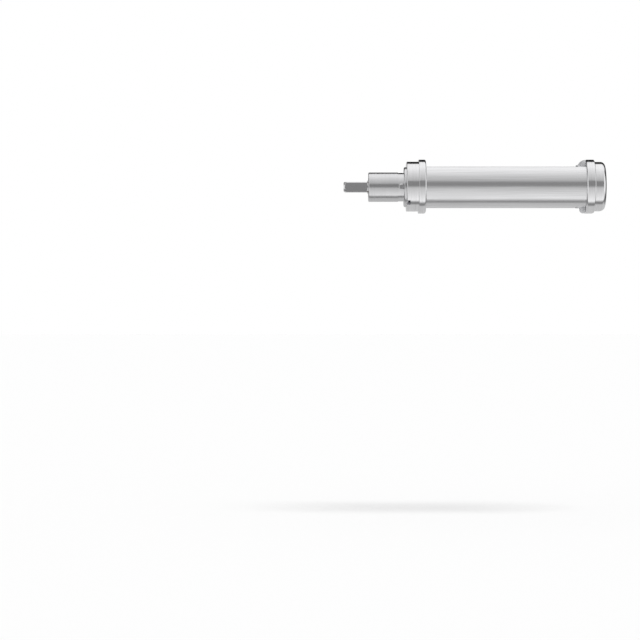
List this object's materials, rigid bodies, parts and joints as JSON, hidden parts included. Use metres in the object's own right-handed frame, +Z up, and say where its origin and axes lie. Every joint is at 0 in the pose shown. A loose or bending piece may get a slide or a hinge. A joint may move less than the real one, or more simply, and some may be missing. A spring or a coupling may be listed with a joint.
{
  "type": "pasta roller machine",
  "caption": "Noodle cutter for a stand mixer's power hub: geared, interleaved grooved rollers with combs in a slim oval steel body with stepped end caps, a feed slot and an outlet.",
  "frame": {"origin": "on the drive axis, at the face of the flange that stops against the mixer's hub", "axes": "+X along the rollers from the hub shank to the gear end, +Y to the back, +Z up; dough goes in from +Z"},
  "size_m": [0.242, 0.0602, 0.0496],
  "materials": {
    "cover_steel": "satin, brushed along the rollers",
    "cap_steel": "brushed round the circumference, bright rounded edges",
    "frame_casting": "fine satin casting",
    "shank_steel": "turned and polished",
    "roller_steel": "turned",
    "comb_nylon": "matt moulded",
    "rod_steel": "drawn bar",
    "bush_bronze": "sintered, oiled",
    "gear_steel": "hobbed, oiled",
    "fastener_steel": "dark zinc"
  },
  "bodies": {
    "housing": {"front_cover": "cover_steel", "rear_cover": "cover_steel", "drive_end_cap": "cap_steel", "gear_end_cap": "cap_steel", "drive_side_frame": "frame_casting", "gear_side_frame": "frame_casting", "hub_shank": "shank_steel", "locating_pin": "shank_steel", "front_comb": "comb_nylon", "rear_comb": "comb_nylon", "front_upper_tie_rod": "rod_steel", "front_lower_tie_rod": "rod_steel", "rear_upper_tie_rod": "rod_steel", "rear_lower_tie_rod": "rod_steel", "shank_bush": "bush_bronze", "drive_side_front_bush": "bush_bronze", "drive_side_rear_bush": "bush_bronze", "gear_side_front_bush": "bush_bronze", "gear_side_rear_bush": "bush_bronze", "hub_screws": "fastener_steel", "drive_cap_screws": "fastener_steel", "gear_cap_screws": "fastener_steel", "drive_frame_screws": "fastener_steel", "gear_frame_screws": "fastener_steel"},
    "drive_roller": {"rear_cutting_roller": "roller_steel", "drive_shaft": "shank_steel", "drive_shaft_pin": "fastener_steel", "drive_gear": "gear_steel", "drive_gear_key": "gear_steel", "drive_gear_washer": "bush_bronze", "drive_gear_clip": "fastener_steel"},
    "driven_roller": {"front_cutting_roller": "roller_steel", "driven_gear": "gear_steel", "driven_gear_key": "gear_steel", "driven_gear_washer": "bush_bronze", "driven_gear_clip": "fastener_steel"}
  },
  "joints": [
    {"name": "drive_roller_spin", "type": "hinge", "parent": "housing", "child": "drive_roller", "pos_m": [0.09, 0, 0], "axis": [1, 0, 0], "continuous": true},
    {"name": "driven_roller_spin", "type": "hinge", "parent": "housing", "child": "driven_roller", "pos_m": [0.09, -0.018, 0], "axis": [1, 0, 0], "continuous": true}
  ],
  "couplings": [
    {"joint": "driven_roller_spin", "follows": "drive_roller_spin", "ratio": -1}
  ]
}
